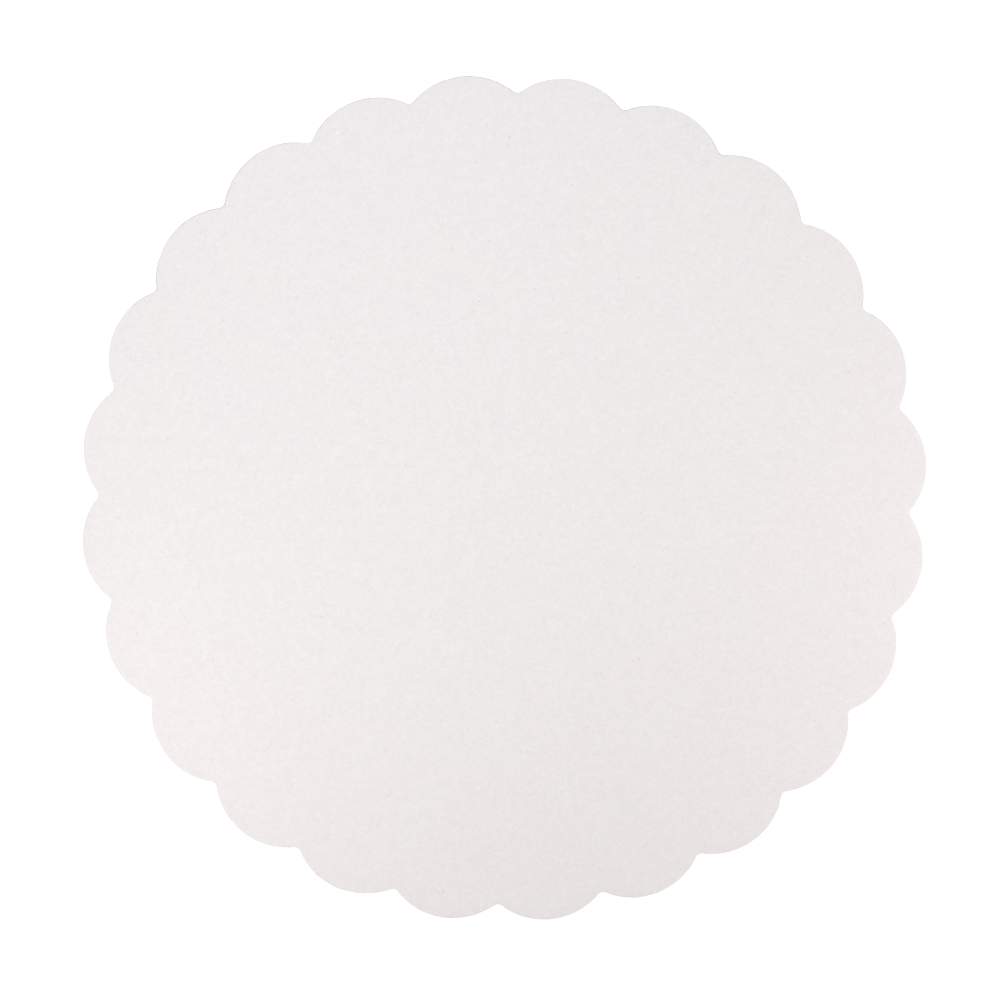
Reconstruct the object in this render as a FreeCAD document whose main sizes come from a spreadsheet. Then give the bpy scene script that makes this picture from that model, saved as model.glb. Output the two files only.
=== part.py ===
import FreeCAD, Part
import math
import os

import Sketcher

# A round drink mat: one sheet of absorbent pulp board, die cut to a scalloped outline.
#
# Millimetres, +Z up. The origin is the centre of the bottom face, and the tip of one
# scallop lies on +X. The knife comes down from above, so it draws the top edge over a
# little, and it leaves the bottom edge square.
#
# The board is drawn as one slice of the disc, which holds one whole scallop and the whole
# valley that follows it, and the slice is then repeated round the Z axis. The knife is bent
# to a small radius in each valley.

DIMENSIONS = (
    ("overall_diameter", 100.0, "tip to tip across the board"),
    ("board_thickness", 1.4, "one sheet of pulp board"),
    ("scallop_count", 24, "equal scallops round the edge"),
    ("scallop_radius", 8.54, "radius of each scallop's arc"),
    ("valley_radius", 0.65, "radius of the knife between two scallops"),
    ("top_edge_radius", 0.15, "rounding that the knife leaves on the top edge"),
)

# How far a measured length may be from its stated value.
TOLERANCE = 0.001

# Sketcher's own numbers for a curve's points, for the sketch's X axis and for its origin.
START, END, CENTRE = 1, 2, 3
X_AXIS = -1
ROOT = (-1, 1)

UP = FreeCAD.Vector(0, 0, 1)


def make_sheet(doc):
    """The spreadsheet that holds the driving dimensions, one alias to a row."""
    sheet = doc.addObject("Spreadsheet::Sheet", "Dimensions")
    for row, (alias, value, meaning) in enumerate(DIMENSIONS, start=1):
        sheet.set(f"A{row}", alias)
        sheet.set(f"B{row}", str(value))
        sheet.set(f"C{row}", meaning)
        sheet.setAlias(f"B{row}", alias)
    doc.recompute()
    return sheet


def origin_feature(body, role):
    """The body's own origin plane or axis with this role, such as XY_Plane."""
    return next(feature for feature in body.Origin.OriginFeatures if feature.Role == role)


def polar(radius, angle):
    """The point of the XY plane at this radius and angle, in radians from +X."""
    return FreeCAD.Vector(radius * math.cos(angle), radius * math.sin(angle), 0)


def angle_of(vector):
    """A vector's direction in the XY plane, in radians from +X."""
    return math.atan2(vector.y, vector.x)


def draw_slice(sketch, sheet):
    """Draws one slice of the board, its scallop's tip on +X, and ties it to the spreadsheet.

    The scallop's arc bulges out round a centre on the X axis. The valley's arc hollows in
    round a centre on the spoke, half a pitch further round, and touches both its scallops.
    """
    half_pitch = math.pi / sheet.scallop_count
    scallop_centre = polar(sheet.overall_diameter / 2 - sheet.scallop_radius, 0)
    along_spoke = scallop_centre.x * math.cos(half_pitch)
    off_spoke = scallop_centre.x * math.sin(half_pitch)
    centre_gap = sheet.scallop_radius + sheet.valley_radius
    valley_centre = polar(along_spoke + math.sqrt(centre_gap**2 - off_spoke**2), half_pitch)
    foot_angle = angle_of(valley_centre - scallop_centre)
    scallop_foot = scallop_centre + polar(sheet.scallop_radius, -foot_angle)
    next_foot = polar(scallop_foot.Length, angle_of(scallop_foot) + 2 * half_pitch)

    def line_to(point, construction=False):
        return sketch.addGeometry(Part.LineSegment(FreeCAD.Vector(), point), construction)

    def arc(centre, radius, start, end):
        return sketch.addGeometry(Part.ArcOfCircle(Part.Circle(centre, UP, radius), start, end))

    first_side = line_to(scallop_foot)
    last_side = line_to(next_foot)
    spoke = line_to(valley_centre, construction=True)
    scallop = arc(scallop_centre, sheet.scallop_radius, -foot_angle, foot_angle)
    valley_start = angle_of(next_foot - valley_centre)
    valley = arc(valley_centre, sheet.valley_radius, valley_start, foot_angle + math.pi)

    def tie(kind, *what):
        return sketch.addConstraint(Sketcher.Constraint(kind, *what))

    def drive(expression, kind, *what):
        sketch.setExpression(f"Constraints[{tie(kind, *what)}]", expression)

    tie("Coincident", first_side, START, *ROOT)
    tie("Coincident", last_side, START, *ROOT)
    tie("Coincident", spoke, START, *ROOT)
    tie("Coincident", first_side, END, scallop, START)
    tie("Tangent", scallop, END, valley, END)
    tie("Coincident", valley, START, last_side, END)
    tie("Coincident", spoke, END, valley, CENTRE)
    tie("PointOnObject", scallop, CENTRE, X_AXIS)
    tie("Vertical", scallop, START, scallop, END)
    tie("Equal", first_side, last_side)
    drive("Dimensions.valley_radius", "Radius", valley, sheet.valley_radius)
    drive("Dimensions.scallop_radius", "Radius", scallop, sheet.scallop_radius)
    centre_distance = "Dimensions.overall_diameter / 2 - Dimensions.scallop_radius"
    drive(centre_distance, "DistanceX", *ROOT, scallop, CENTRE, scallop_centre.x)
    spoke_angle = "180 deg / Dimensions.scallop_count"
    drive(spoke_angle, "Angle", X_AXIS, START, spoke, START, half_pitch)


def make_board(doc, sheet):
    """The scalloped board: a slice padded, repeated all round, and rounded on top."""
    body = doc.addObject("PartDesign::Body", "scalloped_board")
    body.Label = "scalloped_board"
    body.Placement = FreeCAD.Placement()

    sketch = body.newObject("Sketcher::SketchObject", "slice_sketch")
    sketch.AttachmentSupport = [(origin_feature(body, "XY_Plane"), "")]
    sketch.MapMode = "FlatFace"
    draw_slice(sketch, sheet)

    board_slice = body.newObject("PartDesign::Pad", "board_slice")
    board_slice.Profile = sketch
    board_slice.setExpression("Length", "Dimensions.board_thickness")

    ring = body.newObject("PartDesign::PolarPattern", "slice_ring")
    ring.Originals = [board_slice]
    ring.Axis = (origin_feature(body, "Z_Axis"), [""])
    ring.Angle = 360
    ring.setExpression("Occurrences", "Dimensions.scallop_count")
    body.Tip = ring
    doc.recompute()

    top = sheet.board_thickness - TOLERANCE
    outline = [
        f"Edge{number}"
        for number, edge in enumerate(ring.Shape.Edges, start=1)
        if all(vertex.Z > top for vertex in edge.Vertexes)
    ]
    rounding = body.newObject("PartDesign::Fillet", "top_edge")
    rounding.Base = (ring, outline)
    rounding.setExpression("Radius", "Dimensions.top_edge_radius")
    body.Tip = rounding
    doc.recompute()
    return body


def check(doc, sheet, board):
    """Stops if a feature failed, or if the board isn't one sound solid of its stated size."""
    for item in doc.Objects:
        if "Invalid" in item.State or "Error" in item.State:
            raise RuntimeError(f"{item.Label} didn't recompute: {item.State}")
    shape = board.Shape
    if shape.isNull() or not shape.isValid() or len(shape.Solids) != 1:
        raise RuntimeError(f"{board.Label} isn't one valid solid")
    box = shape.optimalBoundingBox(False, False)
    stated = (sheet.overall_diameter, sheet.overall_diameter, sheet.board_thickness)
    for found, wanted in zip((box.XLength, box.YLength, box.ZLength), stated):
        if abs(found - wanted) > TOLERANCE:
            raise RuntimeError(f"{board.Label} measures {found:.3f}, not {wanted:.3f} mm")


def main():
    doc = FreeCAD.newDocument("scalloped_mat")
    sheet = make_sheet(doc)
    board = make_board(doc, sheet)
    check(doc, sheet, board)
    os.makedirs("parts", exist_ok=True)
    board.Shape.exportStep(f"parts/{board.Label}.step")
    print(f"{board.Label}: {len(board.Shape.Faces)} faces, {board.Shape.Volume:.1f} mm3")


main()
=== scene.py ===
import math

import bpy
import numpy as np
from mathutils import Matrix, Vector, geometry, noise


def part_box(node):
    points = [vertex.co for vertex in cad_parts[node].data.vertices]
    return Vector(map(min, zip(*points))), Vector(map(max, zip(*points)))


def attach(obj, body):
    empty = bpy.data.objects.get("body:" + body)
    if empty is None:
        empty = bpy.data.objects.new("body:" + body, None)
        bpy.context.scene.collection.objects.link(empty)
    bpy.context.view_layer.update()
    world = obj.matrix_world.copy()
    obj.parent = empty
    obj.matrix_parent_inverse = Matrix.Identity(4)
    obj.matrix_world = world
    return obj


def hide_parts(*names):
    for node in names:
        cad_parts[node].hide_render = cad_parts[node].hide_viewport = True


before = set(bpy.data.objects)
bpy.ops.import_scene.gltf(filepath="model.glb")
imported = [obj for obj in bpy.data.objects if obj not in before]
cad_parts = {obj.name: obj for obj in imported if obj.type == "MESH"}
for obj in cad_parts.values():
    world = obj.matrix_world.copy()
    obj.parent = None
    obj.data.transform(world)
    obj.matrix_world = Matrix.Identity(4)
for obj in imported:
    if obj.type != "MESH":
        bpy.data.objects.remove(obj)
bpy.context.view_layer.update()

# One sheet of absorbent pulp board, die cut to a scalloped outline and lying on a pale table.
# Lengths are in metres, and a length in millimetres is written times MM. Angles that are given are
# in degrees.

MM = 0.001
NODE = "scalloped_board"
BODY = "root"

low_corner, high_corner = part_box(NODE)
TIP_RADIUS = (high_corner.x - low_corner.x) / 2
THICKNESS = high_corner.z - low_corner.z

# The outline: the same knife as in the CAD model.
SCALLOPS = 24
SCALLOP_RADIUS = 8.54 * MM
VALLEY_RADIUS = 0.65 * MM
SCALLOP_STEPS = 48
VALLEY_STEPS = 8

# The cut edge, from the top face over the shoulder and down the wall to the bottom face.
FACE_INSET = 1.0 * MM
SHOULDER_DROP = 0.035 * MM
TOP_ROUNDING = 0.15 * MM
BOTTOM_ROUNDING = 0.04 * MM
SHOULDER_ROWS = 5
TOP_ROUNDING_ROWS = 6
WALL_ROWS = 9
BOTTOM_ROUNDING_ROWS = 4

# How finely the two faces are meshed. The jitter, and the margin that stays free along the edge,
# are shares of the spacing. Points nearer to each other than WELD count as one.
TOP_SPACING = 0.44 * MM
BOTTOM_SPACING = 0.85 * MM
JITTER = 0.18
EDGE_MARGIN = 0.6
WELD = 1e-6 * MM

# The board's own surface never leaves the CAD solid: the pulp's unevenness and the knife's wander
# only take board away. Each layer of unevenness is (depth, feature size), and the wall's features
# are squeezed WALL_LAYERING times in height.
FACE_RELIEF = ((0.016 * MM, 3.0 * MM), (0.012 * MM, 1.2 * MM))
WALL_RELIEF = ((0.045 * MM, 1.1 * MM), (0.040 * MM, 0.40 * MM))
WALL_LAYERING = 4.0
KNIFE_WANDER = 0.13 * MM
KNIFE_WANDER_LENGTH = 9.0 * MM

# Levelness is 1 on a face and 0 on the wall. Where it is below CUT_LEVELNESS, the board is cut.
# The shoulder gets a painted shade, a dark line where it tilts, which comes up as levelness falls
# from the first to the second of the levelness pair that follows.
CUT_LEVELNESS = 0.5
PAINTED_SHADE_LEVELNESS = (0.985, 0.88)

# The painted shade lies in patches, most of them on the side that faces the azimuth given next. It
# comes up between the two places of the reach given after that, in radii from the centre towards
# that side.
PAINTED_SHADE_SIDE = 95
PAINTED_SHADE_REACH = (-0.3, 0.7)
PAINTED_SHADE_PATCH = 8.0 * MM
PAINTED_SHADE_PATCH_EDGE = (0.43, 0.57)

# Loose fibres: thin tubes that are sunk into the board at both ends. Those in the faces lie
# within FIBRE_REACH of the centre, and their ends are LYING_SINK radii deeper than their middle.
# A bend is a share of the fibre's length. SPECKS and PALE_ON_FACE are the numbers in each face.
FIBRE_SIDES = 5
FIBRE_STEPS = 7
FIBRE_REACH = 47.5 * MM
LYING_SINK = 2
FIBRE_BEND = 0.25
STRAY_BEND = 0.1
SPECKS = 130
SPECK_LENGTHS = (0.14 * MM, 0.45 * MM)
SPECK_RADII = (0.010 * MM, 0.018 * MM)
PALE_ON_FACE = 900
PALE_LENGTHS = (0.4 * MM, 1.4 * MM)
PALE_RADII = (0.009 * MM, 0.020 * MM)
PALE_ON_WALL = 2100

# Fibres in the wall. A span counts the outline's points, and a height is a share of the board's
# thickness. The middle of a fibre stands out of the wall, or in where that is below 0, and its
# ends are sunk further in by WALL_FIBRE_SINK.
WALL_FIBRE_SPANS = (2, 6)
WALL_FIBRE_HEIGHTS = (0.1, 0.85)
WALL_FIBRE_RISE = 0.08 * MM
WALL_FIBRE_STANDS = (-0.03 * MM, 0.02 * MM)
WALL_FIBRE_SINK = 0.14 * MM

# The few dark fibres that the eye finds: x, y, length, direction and radius. Here alone, lengths
# are in millimetres.
STRAY_FIBRES = (
    (13.5, -20.0, 0.75, 125, 0.026),
    (13.4, -19.8, 0.35, 60, 0.020),
    (25.0, -40.0, 0.32, 95, 0.034),
    (28.5, -23.5, 0.32, 20, 0.030),
    (21.5, 29.0, 0.34, 70, 0.028),
    (22.0, 26.0, 0.30, 40, 0.026),
    (18.5, 7.5, 0.26, 100, 0.024),
    (-8.5, 27.0, 0.30, 75, 0.025),
    (28.0, -37.5, 0.42, 60, 0.018),
    (-12.5, -45.0, 0.50, 70, 0.018),
)

# Colours, as linear red, green and blue.
PULP_PINK = (0.841, 0.802, 0.802)
PULP_GREY = (0.838, 0.806, 0.801)
CUT_PULP = (0.770, 0.735, 0.705)
# Painted shade: the dark grey laid on the tilted shoulder.
PAINTED_SHADE_GREY = (0.400, 0.385, 0.380)
FIBRE_WHITE = (0.900, 0.880, 0.870)
FIBRE_BROWN = (0.300, 0.220, 0.170)
FIBRE_GREY = (0.220, 0.210, 0.210)
TABLE_WHITE = (0.880, 0.880, 0.880)
WHITE = (1, 1, 1)

# The materials' patterns: the size of each, how dark and how light it makes the colour, and how
# deep it is as a bump. A scale multiplies the place on the object along each axis, so a pattern
# is squeezed where its scale is above 1 and stretched where it is below 1.

# In the faces. A net is a pattern of fine lines, and holes and tufts are dots.
CLOUD_SIZE = 4.5 * MM
FLOC_SIZE = 1.3 * MM
FLOC_SHADES = (0.988, 1.012)
FLOC_BUMP = 0.010 * MM
CLOT_SIZE = 0.5 * MM
CLOT_SHADES = (0.984, 1.016)
GRAIN_SIZE = 0.26 * MM
GRAIN_SHADES = (0.972, 1.028)
GRAIN_BUMP = 0.006 * MM
NET_SPACING = 0.7 * MM
NET_BEND_SIZE = 0.56 * MM
NET_LINE_EDGE = (0.0, 0.10)
NET_SHADES = (0.998, 1.008)
NET_BUMP = 0.004 * MM
DOT_SPACING = 0.8 * MM
DOT_STRENGTHS = (0.4, 1.0)
HOLE_RADIUS = 0.14 * MM
HOLE_SHADES = (1.0, 0.87)
TUFT_SCALE = (0.8, 0.8, 0.8)
TUFT_RADIUS = 0.13 * MM
TUFT_SHADES = (1.0, 1.12)
FACE_ROUGHNESS = (0.84, 0.95)

# In the cut wall.
LAYER_SCALE = (1, 1, 6)
LAYER_SIZE = 1.6 * MM
LAYER_BUMP = 0.040 * MM
FUZZ_SIZE = 0.28 * MM
FUZZ_SHADES = (0.88, 1.05)
FUZZ_BUMP = 0.030 * MM
CUT_GRAIN_SIZE = 0.12 * MM
CUT_GRAIN_SHADES = (0.95, 1.04)
CUT_GRAIN_BUMP = 0.010 * MM
CUT_ROUGHNESS = (0.88, 1.0)

# In the loose fibres.
DARK_KIND_SIZE = 5.0 * MM
DARK_STREAK_SIZE = 0.08 * MM
DARK_STREAK_SHADES = (0.7, 1.3)
DARK_STREAK_BUMP = 0.003 * MM
PALE_STREAK_SIZE = 0.10 * MM
PALE_STREAK_BUMP = 0.002 * MM
PALE_ROUGHNESS = (0.45, 0.7)

# Noise stays near 0.5, so the materials spread out one of these parts of its range, from the
# most contrast to the least. FULL is the whole range.
STARK = (0.40, 0.60)
CRISP = (0.35, 0.65)
SOFT = (0.30, 0.70)
FAINT = (0.25, 0.75)
FULL = (0.0, 1.0)

# The table. Its glow is the first of TABLE_GLOW out to the first distance of TABLE_GLOW_REACH,
# and rises to the second of TABLE_GLOW at the second distance.
TABLE_RADIUS = 3.0
TABLE_CORNERS = 96
TABLE_GAP = 0.005 * MM
TABLE_GLOW = (0.215, 0.26)
TABLE_GLOW_REACH = (0.15, 0.60)

# The light: a cool key, two warm fills and even light from all round.
COOL_LIGHT = (0.96, 1.00, 1.07)
WARM_LIGHT = (1.04, 1.00, 0.95)
EVEN_LIGHT = (1.01, 1.00, 0.98)

# The softboxes: name, azimuth, distance out, height, brightness, colour. Their size is a share of
# how far they are from the board.
SOFTBOXES = (
    ("key_softbox", 111, 84 * MM, 171 * MM, 0.352, COOL_LIGHT),
    ("left_fill", 206, 76 * MM, 63 * MM, 0.098, WARM_LIGHT),
    ("right_fill", 342, 131 * MM, 58 * MM, 0.105, WARM_LIGHT),
)
SOFTBOX_SIZE = 0.5

# The even light falls from HORIZON_LIGHT to OVERHEAD_LIGHT as the sine of the elevation rises
# from the first to the second of EVEN_LIGHT_RISE.
HORIZON_LIGHT = 0.72
OVERHEAD_LIGHT = 0.493
EVEN_LIGHT_RISE = (0.0, 0.5)

# The camera: it looks almost straight down.
CAMERA_LENS = 50.0
CAMERA_LEAN = 3.12
CAMERA_AZIMUTH = 112.8
CAMERA_ROLL = -6.15
CAMERA_DISTANCE = 163.22 * MM
CAMERA_AIM = Vector((-0.82 * MM, 0.56 * MM, 1.33 * MM))

UP = Vector((0, 0, 1))
SEED = 24


# ---------------------------------------------------------------------------- the outline


def outline():
    """The board's edge, anticlockwise from +X's scallop: its points and the way out at each.

    Both are complex numbers. An inset edge is the points less the inset times the way out.
    """
    half_pitch = math.pi / SCALLOPS
    scallop_centre = TIP_RADIUS - SCALLOP_RADIUS
    off_spoke = scallop_centre * math.sin(half_pitch)
    centre_gap = SCALLOP_RADIUS + VALLEY_RADIUS
    valley_centre = scallop_centre * math.cos(half_pitch) + math.sqrt(centre_gap**2 - off_spoke**2)
    valley_centre *= np.exp(1j * half_pitch)
    foot = np.angle(valley_centre - scallop_centre)
    scallop_out = np.exp(1j * np.linspace(-foot, foot, SCALLOP_STEPS, endpoint=False))
    valley_out = np.exp(1j * np.linspace(foot, 2 * half_pitch - foot, VALLEY_STEPS, endpoint=False))
    scallop = scallop_centre + SCALLOP_RADIUS * scallop_out
    valley = valley_centre - VALLEY_RADIUS * valley_out
    turns = np.exp(2j * half_pitch * np.arange(SCALLOPS))[:, None]
    points = (turns * np.concatenate([scallop, valley])).ravel()
    way_out = (turns * np.concatenate([scallop_out, valley_out])).ravel()
    return points, way_out


def noise_level(place):
    """Smooth noise from 0 to 1."""
    return 0.5 + 0.5 * noise.noise(place)


def knife_edge(inset):
    """The edge moved in by inset. The knife's own wander fades out towards the face."""
    points, way_out = outline()
    drift = [noise_level(Vector((p.real, p.imag, 0)) / KNIFE_WANDER_LENGTH) for p in points]
    wander = KNIFE_WANDER * np.array(drift)
    return points - way_out * (inset + wander * (1 - inset / FACE_INSET))


def edge_profile():
    """(inset, height) of each row of the edge, from the top face round to the bottom face."""
    rows = []
    for nearness in np.linspace(0, 1, SHOULDER_ROWS, endpoint=False):
        inset = FACE_INSET + (TOP_ROUNDING - FACE_INSET) * nearness
        rows.append((inset, THICKNESS - SHOULDER_DROP * nearness**2))
    top = THICKNESS - SHOULDER_DROP
    for turn in np.linspace(0, math.pi / 2, TOP_ROUNDING_ROWS):
        inset = TOP_ROUNDING * (1 - math.sin(turn))
        rows.append((inset, top - TOP_ROUNDING * (1 - math.cos(turn))))
    wall = np.linspace(top - TOP_ROUNDING, BOTTOM_ROUNDING, WALL_ROWS + 2)
    rows += [(0.0, height) for height in wall[1:-1]]
    for turn in np.linspace(0, math.pi / 2, BOTTOM_ROUNDING_ROWS):
        inset = BOTTOM_ROUNDING * (1 - math.cos(turn))
        rows.append((inset, BOTTOM_ROUNDING * (1 - math.sin(turn))))
    rows.append((FACE_INSET, 0.0))
    return rows


def lattice(ring, spacing, rng):
    """Points on a slightly irregular triangular lattice that fills the inside of the ring."""
    rows = np.arange(-TIP_RADIUS, TIP_RADIUS, spacing * math.sqrt(3) / 2)
    columns = np.arange(-TIP_RADIUS, TIP_RADIUS, spacing)
    shift = np.where(np.arange(len(rows)) % 2, spacing / 2, 0.0)
    points = (columns[None, :] + shift[:, None] + 1j * rows[:, None]).ravel()
    points = points + spacing * JITTER * (rng.random(len(points)) - 0.5)
    points = points + spacing * JITTER * (rng.random(len(points)) - 0.5) * 1j
    reach = np.interp(np.angle(points), np.angle(ring), np.abs(ring), period=2 * math.pi)
    return points[np.abs(points) < reach - spacing * EDGE_MARGIN]


def triangulate(ring, inner):
    """Triangles, anticlockwise from above, that fill the ring and use every inner point.

    A corner's number counts the ring's points first and then the inner points.
    """
    points = [Vector((p.real, p.imag)) for p in np.concatenate([ring, inner])]
    count = len(ring)
    edges = [(i, (i + 1) % count) for i in range(count)]
    inside_only = 1
    found = geometry.delaunay_2d_cdt(points, edges, [], inside_only, WELD)
    triangles, originals = found[2], found[3]
    return [[originals[corner][0] for corner in triangle] for triangle in triangles]


# ---------------------------------------------------------------------------- the board


def roughness_depth(place, layers):
    """How deep the layers of unevenness carve at this place."""
    return sum(depth * noise_level(place / feature) for depth, feature in layers)


def carve(mesh):
    """Presses the pulp's unevenness into the mesh, along each vertex's normal.

    The faces get broad shallow hollows. The wall's are finer, deeper and drawn out into layers.
    """
    normals = [vertex.normal.copy() for vertex in mesh.vertices]
    for vertex, normal in zip(mesh.vertices, normals):
        place = vertex.co
        layered = Vector((place.x, place.y, place.z * WALL_LAYERING))
        flatness = normal.z**2
        depth = flatness * roughness_depth(place, FACE_RELIEF)
        depth += (1 - flatness) * roughness_depth(layered, WALL_RELIEF)
        vertex.co = place - normal * depth


def make_board(rng):
    """The board as one closed mesh: rows round the edge, and a fine net over each face."""
    profile = edge_profile()
    rings = [(knife_edge(inset), height) for inset, height in profile]
    first_ring, last_ring = rings[0][0], rings[-1][0]
    top_inner = lattice(first_ring, TOP_SPACING, rng)
    bottom_inner = lattice(last_ring, BOTTOM_SPACING, rng)
    layers = [*rings, (top_inner, THICKNESS), (bottom_inner, 0.0)]
    vertices = [(p.real, p.imag, height) for points, height in layers for p in points]

    columns = len(first_ring)
    faces = []
    for row in range(len(rings) - 1):
        for column in range(columns):
            here = row * columns + column
            beside = row * columns + (column + 1) % columns
            faces.append((beside, here, here + columns, beside + columns))

    def cap(ring_row, ring, inner, inner_start):
        """The face's triangles, in the whole mesh's vertex numbers."""

        def number(corner):
            if corner < columns:
                return ring_row * columns + corner
            return inner_start + corner - columns

        return [[number(corner) for corner in face] for face in triangulate(ring, inner)]

    top_start = len(rings) * columns
    bottom_start = top_start + len(top_inner)
    faces += cap(0, first_ring, top_inner, top_start)
    faces += [face[::-1] for face in cap(len(rings) - 1, last_ring, bottom_inner, bottom_start)]

    mesh = bpy.data.meshes.new("board")
    mesh.from_pydata(vertices, [], faces)
    mesh.materials.append(board_face_material())
    mesh.materials.append(cut_edge_material())
    for polygon in mesh.polygons:
        polygon.material_index = int(abs(polygon.normal.z) < CUT_LEVELNESS)
        polygon.use_smooth = True
    carve(mesh)
    return place_piece("board", mesh)


def place_piece(name, mesh):
    """Puts a mesh in the scene as a piece of the object."""
    piece = bpy.data.objects.new(name, mesh)
    bpy.context.scene.collection.objects.link(piece)
    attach(piece, BODY)
    return piece


# ---------------------------------------------------------------------------- the loose fibres


def tube(path, radius, vertices, faces):
    """Adds one closed tube along the path, with its two ends drawn to points."""
    start = len(vertices)
    rings = len(path) - 2
    vertices.append(path[0])
    for before, here, after in zip(path, path[1:], path[2:]):
        along = (after - before).normalized()
        side = along.cross(UP).normalized()
        over = side.cross(along)
        for turn in np.linspace(0, 2 * math.pi, FIBRE_SIDES, endpoint=False):
            vertices.append(here + radius * (math.cos(turn) * side + math.sin(turn) * over))
    vertices.append(path[-1])
    tip = len(vertices) - 1
    for k in range(FIBRE_SIDES):
        first = start + 1 + k
        second = start + 1 + (k + 1) % FIBRE_SIDES
        faces.append((start, first, second))
        for ring in range(rings - 1):
            step = ring * FIBRE_SIDES
            next_step = step + FIBRE_SIDES
            faces.append((first + step, first + next_step, second + next_step, second + step))
        last_step = (rings - 1) * FIBRE_SIDES
        faces.append((first + last_step, tip, second + last_step))


def lying_path(x, y, length, direction, bend, radius, face_height, face_up):
    """A fibre's line in a face: flush at its middle, and sunk into the board at both ends."""
    along = Vector((math.cos(direction), math.sin(direction), 0))
    side = along.cross(UP)
    path = []
    for t in np.linspace(-1, 1, FIBRE_STEPS):
        depth = radius * (1 + LYING_SINK * t**2)
        flat = Vector((x, y, 0)) + along * (t * length / 2) + side * (bend * length * t**2)
        path.append(flat + UP * (face_height - face_up * depth))
    return path


def wall_path(edge, way_out, column, span, height, rise, standing_out):
    """A fibre's line in the cut wall, nearly level: it comes up to the surface and goes back in.

    Column and span count the edge's points, and a fibre's middle may be between two of them.
    """
    columns = np.arange(len(edge))
    steps = np.linspace(-1, 1, FIBRE_STEPS)
    here = column + steps * span / 2
    line = np.interp(here, columns, edge, period=len(edge))
    outwards = np.interp(here, columns, way_out, period=len(edge))
    line = line + outwards * (standing_out - WALL_FIBRE_SINK * steps**2)
    return [Vector((p.real, p.imag, height + rise * t)) for p, t in zip(line, steps)]


def random_lying_fibres(rng, count, lengths, radii, face_height, face_up, vertices, faces):
    """Scatters fibres evenly over one face."""
    for _ in range(count):
        radius = rng.uniform(*radii)
        distance = FIBRE_REACH * math.sqrt(rng.random())
        around = rng.uniform(0, 2 * math.pi)
        path = lying_path(
            x=distance * math.cos(around),
            y=distance * math.sin(around),
            length=rng.uniform(*lengths),
            direction=rng.uniform(0, math.pi),
            bend=rng.uniform(-FIBRE_BEND, FIBRE_BEND),
            radius=radius,
            face_height=face_height,
            face_up=face_up,
        )
        tube(path, radius, vertices, faces)


def make_dark_fibres(rng):
    """The stray dark fibres: the few that the eye finds, and many thin short specks."""
    vertices, faces = [], []
    for x, y, length, direction, radius in STRAY_FIBRES:
        path = lying_path(
            x=x * MM,
            y=y * MM,
            length=length * MM,
            direction=math.radians(direction),
            bend=STRAY_BEND,
            radius=radius * MM,
            face_height=THICKNESS,
            face_up=1,
        )
        tube(path, radius * MM, vertices, faces)
    for face_height, face_up in ((THICKNESS, 1), (0.0, -1)):
        random_lying_fibres(
            rng, SPECKS, SPECK_LENGTHS, SPECK_RADII, face_height, face_up, vertices, faces
        )
    return fibre_piece("dark_fibres", vertices, faces, dark_fibre_material())


def make_pale_fibres(rng):
    """The pulp's own bleached fibres that have lifted out of the faces and of the cut wall."""
    vertices, faces = [], []
    for face_height, face_up in ((THICKNESS, 1), (0.0, -1)):
        random_lying_fibres(
            rng, PALE_ON_FACE, PALE_LENGTHS, PALE_RADII, face_height, face_up, vertices, faces
        )
    edge = knife_edge(0.0)
    way_out = outline()[1]
    for _ in range(PALE_ON_WALL):
        radius = rng.uniform(*PALE_RADII)
        path = wall_path(
            edge,
            way_out,
            column=rng.uniform(0, len(edge)),
            span=rng.uniform(*WALL_FIBRE_SPANS),
            height=rng.uniform(*WALL_FIBRE_HEIGHTS) * THICKNESS,
            rise=rng.uniform(-WALL_FIBRE_RISE, WALL_FIBRE_RISE),
            standing_out=rng.uniform(*WALL_FIBRE_STANDS),
        )
        tube(path, radius, vertices, faces)
    return fibre_piece("pale_fibres", vertices, faces, pale_fibre_material())


def fibre_piece(name, vertices, faces, material):
    """One piece that holds a whole family of fibres."""
    mesh = bpy.data.meshes.new(name)
    mesh.from_pydata(vertices, [], faces)
    mesh.materials.append(material)
    for polygon in mesh.polygons:
        polygon.use_smooth = True
    return place_piece(name, mesh)


# ---------------------------------------------------------------------------- the materials


def new_material(name, colour, roughness, specular, sheen=0.0):
    """A material with its node tree and its surface shader."""
    material = bpy.data.materials.new(name)
    material.use_nodes = True
    tree = material.node_tree
    surface = tree.nodes["Principled BSDF"]
    surface.inputs["Base Color"].default_value = (*colour, 1)
    surface.inputs["Roughness"].default_value = roughness
    surface.inputs["Specular IOR Level"].default_value = specular
    surface.inputs["Sheen Weight"].default_value = sheen
    return material, tree, surface


def object_place(tree, scale=(1, 1, 1)):
    """The place on the object in metres, times the scale along each axis."""
    coordinates = tree.nodes.new("ShaderNodeTexCoord")
    mapping = tree.nodes.new("ShaderNodeMapping")
    mapping.inputs["Scale"].default_value = scale
    tree.links.new(coordinates.outputs["Object"], mapping.inputs["Vector"])
    return mapping.outputs["Vector"]


def noise_node(tree, place, size, detail=2.0, distortion=0.0):
    """Noise whose blobs are about as large as size."""
    node = tree.nodes.new("ShaderNodeTexNoise")
    node.inputs["Scale"].default_value = 1 / size
    node.inputs["Detail"].default_value = detail
    node.inputs["Distortion"].default_value = distortion
    tree.links.new(place, node.inputs["Vector"])
    return node


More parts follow.
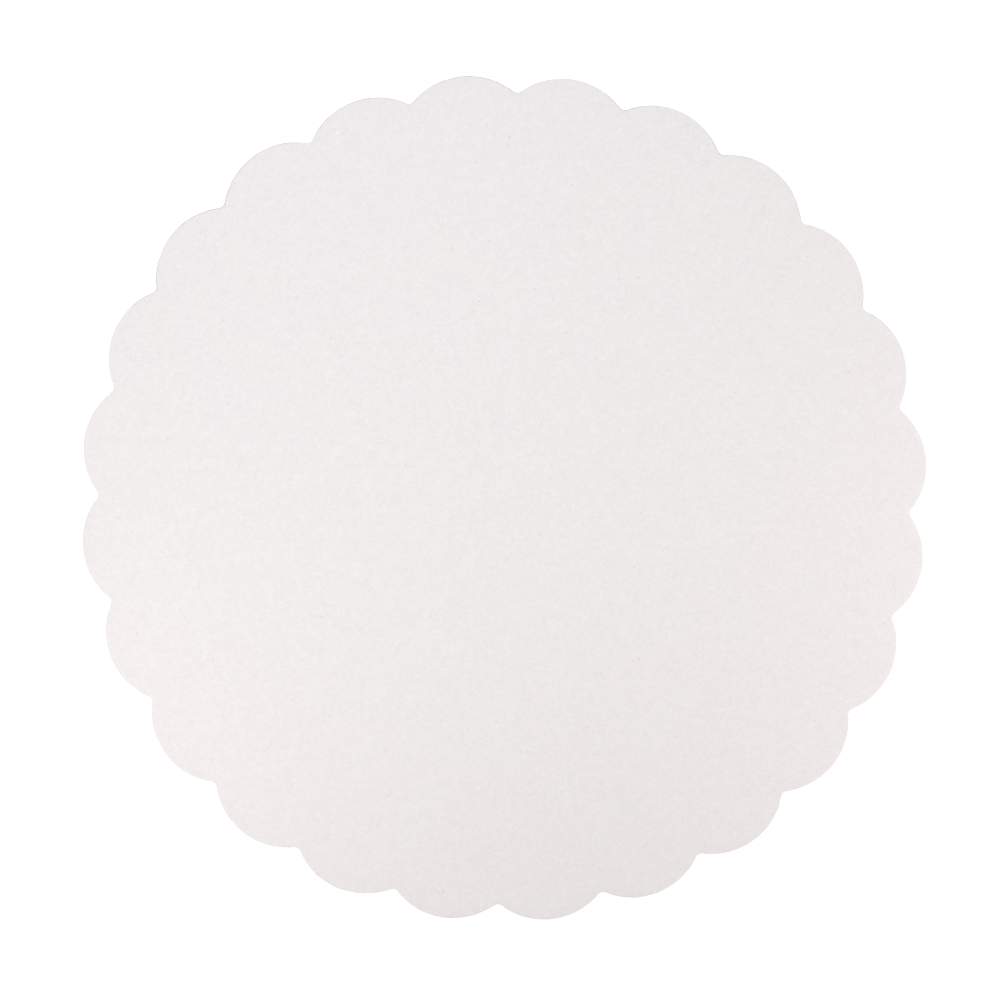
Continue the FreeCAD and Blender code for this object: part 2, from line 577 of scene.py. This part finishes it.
def fibre_net(tree, place):
    """A net of fine curved lines, 1 on a line and 0 between them: fibres matted together."""
    bend = noise_node(tree, place, NET_BEND_SIZE)
    centred = vector_math(tree, "SUBTRACT", bend.outputs["Color"], (0.5, 0.5, 0.5))
    curved = vector_math(tree, "MULTIPLY_ADD", centred, (NET_SPACING,) * 3, place)
    cells = tree.nodes.new("ShaderNodeTexVoronoi")
    cells.feature = "DISTANCE_TO_EDGE"
    cells.inputs["Scale"].default_value = 1 / NET_SPACING
    tree.links.new(curved, cells.inputs["Vector"])
    return remap(tree, cells.outputs["Distance"], NET_LINE_EDGE, (1.0, 0.0))


def dots(tree, place, radius):
    """Small dots, one to a cell of the board and 1 at the middle of the strongest.

    Each dot has its own strength, and many are too weak to show.
    """
    cells = tree.nodes.new("ShaderNodeTexVoronoi")
    cells.voronoi_dimensions = "2D"
    cells.inputs["Scale"].default_value = 1 / DOT_SPACING
    tree.links.new(place, cells.inputs["Vector"])
    dot = remap(tree, cells.outputs["Distance"], (0.0, radius / DOT_SPACING), (1.0, 0.0))
    strength = remap(tree, cells.outputs["Color"], DOT_STRENGTHS, FULL)
    return math_node(tree, "MULTIPLY", dot, math_node(tree, "MULTIPLY", strength, strength))


def vector_math(tree, operation, *values, output="Vector"):
    """A vector maths node. Each value is a socket or a constant."""
    node = tree.nodes.new("ShaderNodeVectorMath")
    node.operation = operation
    connect(tree, node, values)
    return node.outputs[output]


def math_node(tree, operation, *values):
    """A maths node. Each value is a socket or a constant."""
    node = tree.nodes.new("ShaderNodeMath")
    node.operation = operation
    connect(tree, node, values)
    return node.outputs["Value"]


def connect(tree, node, values):
    """Gives the node's inputs, in order, these sockets or constants."""
    for value, target in zip(values, node.inputs):
        if isinstance(value, bpy.types.NodeSocket):
            tree.links.new(value, target)
        else:
            target.default_value = value


def remap(tree, value, from_range, to_range):
    """The value moved from one range to another, and held inside it."""
    node = tree.nodes.new("ShaderNodeMapRange")
    tree.links.new(value, node.inputs["Value"])
    node.inputs["From Min"].default_value, node.inputs["From Max"].default_value = from_range
    node.inputs["To Min"].default_value, node.inputs["To Max"].default_value = to_range
    return node.outputs["Result"]


def blend_colours(tree, level, first, second):
    """The first colour where level is 0 and the second where it is 1. Each may be a socket."""
    node = tree.nodes.new("ShaderNodeMix")
    node.data_type = "RGBA"
    tree.links.new(level, node.inputs["Factor"])
    for name, colour in (("A", first), ("B", second)):
        if isinstance(colour, bpy.types.NodeSocket):
            tree.links.new(colour, node.inputs[name])
        else:
            node.inputs[name].default_value = (*colour, 1)
    return node.outputs["Result"]


def shade(tree, colour, *levels):
    """The colour made lighter or darker by each level in turn."""
    for level in levels:
        node = tree.nodes.new("ShaderNodeVectorMath")
        node.operation = "SCALE"
        tree.links.new(colour, node.inputs["Vector"])
        tree.links.new(level, node.inputs["Scale"])
        colour = node.outputs["Vector"]
    return colour


def add_bump(tree, surface, layers):
    """Bumps on the surface, laid one over another. Each layer is (height from 0 to 1, depth)."""
    normal = None
    for height, depth in layers:
        node = tree.nodes.new("ShaderNodeBump")
        node.inputs["Distance"].default_value = depth
        tree.links.new(height, node.inputs["Height"])
        if normal:
            tree.links.new(normal, node.inputs["Normal"])
        normal = node.outputs["Normal"]
    tree.links.new(normal, surface.inputs["Normal"])


def painted_shoulder_shade(tree, place):
    """How strong the painted shade is here: 0 on a level surface, up to 1 on the tilted shoulder.
    """
    surface_here = tree.nodes.new("ShaderNodeNewGeometry")
    axes = tree.nodes.new("ShaderNodeSeparateXYZ")
    tree.links.new(surface_here.outputs["Normal"], axes.inputs["Vector"])
    levelness = math_node(tree, "ABSOLUTE", axes.outputs["Z"])
    on_shoulder = remap(tree, levelness, PAINTED_SHADE_LEVELNESS, FULL)
    azimuth = math.radians(PAINTED_SHADE_SIDE)
    side = (math.cos(azimuth), math.sin(azimuth), 0)
    towards_side = vector_math(tree, "DOT_PRODUCT", place, side, output="Value")
    reach = [share * TIP_RADIUS for share in PAINTED_SHADE_REACH]
    on_side = remap(tree, towards_side, reach, FULL)
    patches = noise_node(tree, place, PAINTED_SHADE_PATCH, detail=2).outputs["Fac"]
    in_patch = remap(tree, patches, PAINTED_SHADE_PATCH_EDGE, FULL)
    extent = math_node(tree, "MULTIPLY", on_side, in_patch)
    return math_node(tree, "MULTIPLY", on_shoulder, extent)


def board_face_material():
    """Off-white pulp board: faint pink and grey clouds, flocs, a fine grain and matted fibres.

    Over all of it lies a painted shade: a dark line on the tilted shoulder, in patches on one side.
    """
    material, tree, surface = new_material(
        "board_face", PULP_GREY, roughness=0.9, specular=0.25, sheen=0.06
    )
    place = object_place(tree)
    clouds = noise_node(tree, place, CLOUD_SIZE, detail=3).outputs["Fac"]
    flocs = noise_node(tree, place, FLOC_SIZE, detail=3, distortion=0.6).outputs["Fac"]
    clots = noise_node(tree, place, CLOT_SIZE, detail=2).outputs["Fac"]
    grain = noise_node(tree, place, GRAIN_SIZE, detail=2).outputs["Fac"]
    net = fibre_net(tree, place)
    holes = dots(tree, place, HOLE_RADIUS)
    tufts = dots(tree, object_place(tree, TUFT_SCALE), TUFT_RADIUS)
    colour = blend_colours(tree, remap(tree, clouds, CRISP, FULL), PULP_PINK, PULP_GREY)
    colour = shade(
        tree,
        colour,
        remap(tree, flocs, SOFT, FLOC_SHADES),
        remap(tree, clots, SOFT, CLOT_SHADES),
        remap(tree, grain, FAINT, GRAIN_SHADES),
        remap(tree, net, FULL, NET_SHADES),
        remap(tree, holes, FULL, HOLE_SHADES),
        remap(tree, tufts, FULL, TUFT_SHADES),
    )
    # Painted shade: darkens the tilted shoulder in patches on one side.
    colour = blend_colours(tree, painted_shoulder_shade(tree, place), colour, PAINTED_SHADE_GREY)
    tree.links.new(colour, surface.inputs["Base Color"])
    tree.links.new(remap(tree, grain, SOFT, FACE_ROUGHNESS), surface.inputs["Roughness"])
    add_bump(tree, surface, ((net, NET_BUMP), (grain, GRAIN_BUMP), (flocs, FLOC_BUMP)))
    return material


def cut_edge_material():
    """The die-cut wall: the board's inside, a little warmer, torn into fine level layers."""
    material, tree, surface = new_material(
        "cut_edge", CUT_PULP, roughness=0.95, specular=0.2, sheen=0.1
    )
    layered = object_place(tree, LAYER_SCALE)
    place = object_place(tree)
    layers = noise_node(tree, layered, LAYER_SIZE, detail=4).outputs["Fac"]
    fuzz = noise_node(tree, layered, FUZZ_SIZE, detail=3).outputs["Fac"]
    grain = noise_node(tree, place, CUT_GRAIN_SIZE, detail=2).outputs["Fac"]
    colour = blend_colours(tree, remap(tree, layers, CRISP, FULL), CUT_PULP, PULP_GREY)
    colour = shade(
        tree,
        colour,
        remap(tree, fuzz, SOFT, FUZZ_SHADES),
        remap(tree, grain, FAINT, CUT_GRAIN_SHADES),
    )
    tree.links.new(colour, surface.inputs["Base Color"])
    tree.links.new(remap(tree, fuzz, SOFT, CUT_ROUGHNESS), surface.inputs["Roughness"])
    add_bump(tree, surface, ((grain, CUT_GRAIN_BUMP), (fuzz, FUZZ_BUMP), (layers, LAYER_BUMP)))
    return material


def dark_fibre_material():
    """Unbleached or dirty fibre: brown in some places and grey in others, and unevenly dark."""
    material, tree, surface = new_material(
        "dark_fibre", FIBRE_BROWN, roughness=0.7, specular=0.3
    )
    place = object_place(tree)
    kinds = noise_node(tree, place, DARK_KIND_SIZE, detail=1).outputs["Fac"]
    streaks = noise_node(tree, place, DARK_STREAK_SIZE, detail=2).outputs["Fac"]
    colour = blend_colours(tree, remap(tree, kinds, STARK, FULL), FIBRE_BROWN, FIBRE_GREY)
    colour = shade(tree, colour, remap(tree, streaks, SOFT, DARK_STREAK_SHADES))
    tree.links.new(colour, surface.inputs["Base Color"])
    add_bump(tree, surface, ((streaks, DARK_STREAK_BUMP),))
    return material


def pale_fibre_material():
    """Bleached fibre: whiter than the board, with a silky sheen and faint streaks."""
    material, tree, surface = new_material(
        "pale_fibre", FIBRE_WHITE, roughness=0.55, specular=0.4, sheen=0.3
    )
    place = object_place(tree)
    streaks = noise_node(tree, place, PALE_STREAK_SIZE, detail=2).outputs["Fac"]
    colour = blend_colours(tree, remap(tree, streaks, SOFT, FULL), FIBRE_WHITE, PULP_PINK)
    tree.links.new(colour, surface.inputs["Base Color"])
    tree.links.new(remap(tree, streaks, SOFT, PALE_ROUGHNESS), surface.inputs["Roughness"])
    add_bump(tree, surface, ((streaks, PALE_STREAK_BUMP),))
    return material


def table_material():
    """The pale table top. It glows a little, so that it stays plain and white.

    It glows more far out, where the softboxes don't reach.
    """
    material, tree, surface = new_material("table", TABLE_WHITE, roughness=0.8, specular=0.2)
    distance = vector_math(tree, "LENGTH", object_place(tree), output="Value")
    glow = remap(tree, distance, TABLE_GLOW_REACH, TABLE_GLOW)
    tree.links.new(glow, surface.inputs["Emission Strength"])
    surface.inputs["Emission Color"].default_value = (*WHITE, 1)
    return material


# ---------------------------------------------------------------------------- the studio


def make_table():
    """A wide round table top just under the board."""
    corners = TABLE_RADIUS * np.exp(2j * math.pi * np.arange(TABLE_CORNERS) / TABLE_CORNERS)
    mesh = bpy.data.meshes.new("table")
    mesh.from_pydata([(c.real, c.imag, -TABLE_GAP) for c in corners], [], [range(TABLE_CORNERS)])
    mesh.materials.append(table_material())
    table = bpy.data.objects.new("table", mesh)
    bpy.context.scene.collection.objects.link(table)


def make_softbox(name, azimuth, distance, height, brightness, colour):
    """A square softbox aimed at the board. It casts no shadow, so the table stays plain.

    Brightness is about the level that it alone gives a white surface at the board's centre.
    """
    away = Vector((distance, 0, height))
    reach = away.length
    lamp = bpy.data.lights.new(name, "AREA")
    lamp.size = SOFTBOX_SIZE * reach
    lamp.energy = math.pi**2 * brightness * reach**3 / height
    lamp.color = colour
    lamp.use_shadow = False
    softbox = bpy.data.objects.new(name, lamp)
    softbox.location = Matrix.Rotation(math.radians(azimuth), 3, "Z") @ away
    softbox.rotation_mode = "QUATERNION"
    softbox.rotation_quaternion = softbox.location.to_track_quat("Z", "Y")
    softbox.visible_camera = False
    bpy.context.scene.collection.objects.link(softbox)


def make_surroundings():
    """Even light from all round, a little brighter towards the horizon."""
    world = bpy.data.worlds.new("studio")
    world.use_nodes = True
    tree = world.node_tree
    direction = tree.nodes.new("ShaderNodeTexCoord")
    axes = tree.nodes.new("ShaderNodeSeparateXYZ")
    tree.links.new(direction.outputs["Generated"], axes.inputs["Vector"])
    levels = (HORIZON_LIGHT, OVERHEAD_LIGHT)
    level = remap(tree, axes.outputs["Z"], EVEN_LIGHT_RISE, levels)
    tree.links.new(level, tree.nodes["Background"].inputs["Strength"])
    tree.nodes["Background"].inputs["Color"].default_value = (*EVEN_LIGHT, 1)
    bpy.context.scene.world = world


def make_camera():
    """Nearly straight above, leaning a little back, with the board turned a little in view."""
    lean = math.radians(CAMERA_LEAN)
    towards = math.radians(CAMERA_AZIMUTH)
    back = Matrix.Rotation(towards, 3, "Z") @ Vector((math.sin(lean), 0, math.cos(lean)))
    top_of_view = math.radians(90 + CAMERA_ROLL)
    right = Vector((math.cos(top_of_view), math.sin(top_of_view), 0)).cross(back).normalized()
    lens = bpy.data.cameras.new("camera")
    lens.lens = CAMERA_LENS
    lens.clip_start = 10 * MM
    camera = bpy.data.objects.new("camera", lens)
    turn = Matrix((right, back.cross(right), back)).transposed().to_4x4()
    camera.matrix_world = Matrix.Translation(CAMERA_AIM + back * CAMERA_DISTANCE) @ turn
    bpy.context.scene.collection.objects.link(camera)
    bpy.context.scene.camera = camera


# ---------------------------------------------------------------------------- the scene

make_camera()
rng = np.random.default_rng(SEED)
board = make_board(rng)
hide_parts(NODE)
make_dark_fibres(rng)
make_pale_fibres(rng)

make_table()
for softbox in SOFTBOXES:
    make_softbox(*softbox)
make_surroundings()
bpy.context.scene.view_settings.view_transform = "Standard"
